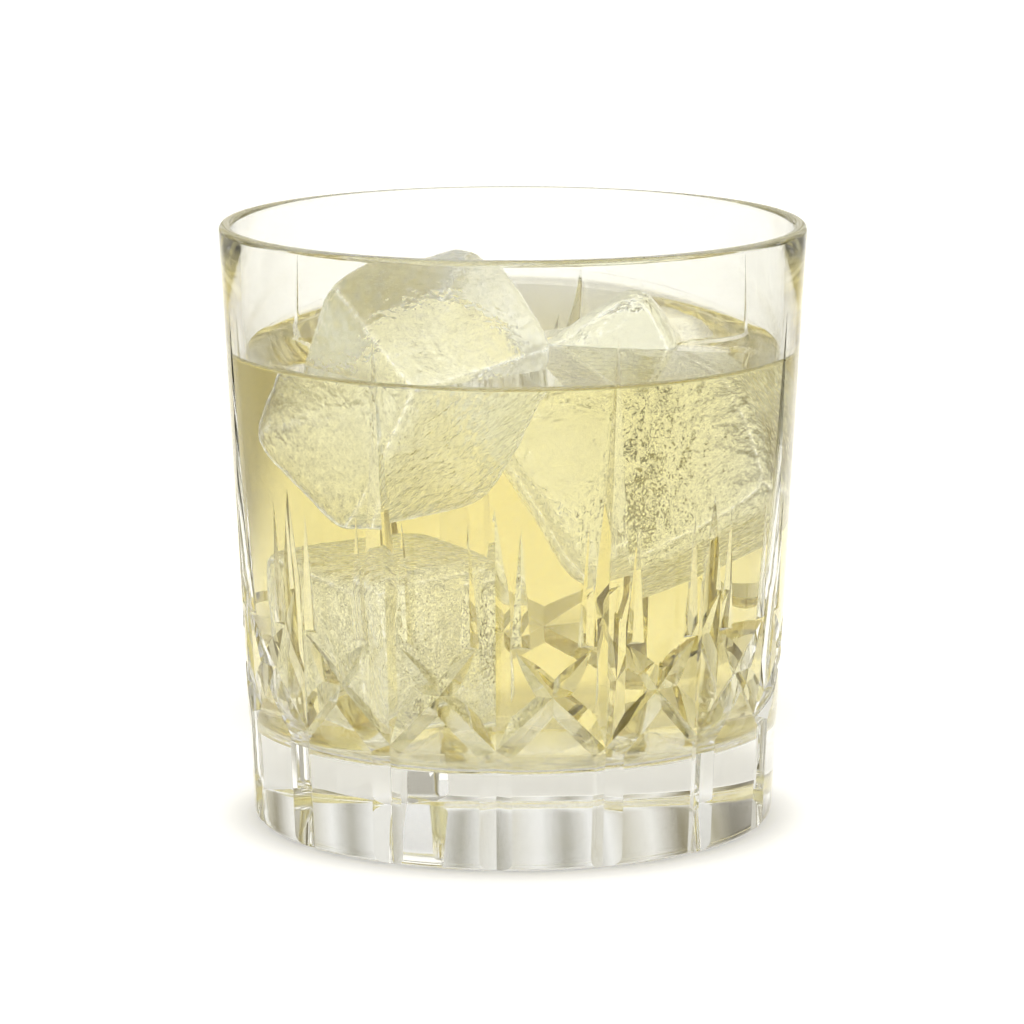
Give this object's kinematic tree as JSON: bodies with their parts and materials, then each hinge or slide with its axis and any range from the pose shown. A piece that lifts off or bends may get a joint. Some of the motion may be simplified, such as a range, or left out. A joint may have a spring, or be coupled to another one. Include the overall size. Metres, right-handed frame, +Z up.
{
  "type": "white negroni in a tumbler",
  "caption": "Pale yellow white negroni over clear ice blocks in a heavy cut-glass tumbler with upright grooves, crossed slanting cuts and a thick clear base.",
  "frame": {"origin": "middle of the tumbler's underside, on the table", "axes": "+Z up through the middle of the tumbler, -Y towards the front, where the larger block of ice is at the left, +X to the right"},
  "size_m": [0.0896, 0.0896, 0.092],
  "materials": {
    "cut_glass": "clear, fire-polished, with wheel-cut facets",
    "white_negroni": "clear pale yellow liquid",
    "clear_ice": "clear, wet, with pitted edges"
  },
  "bodies": {
    "root": {"tumbler": "cut_glass", "drink": "white_negroni", "ice_left": "clear_ice", "ice_right": "clear_ice"}
  },
  "joints": []
}
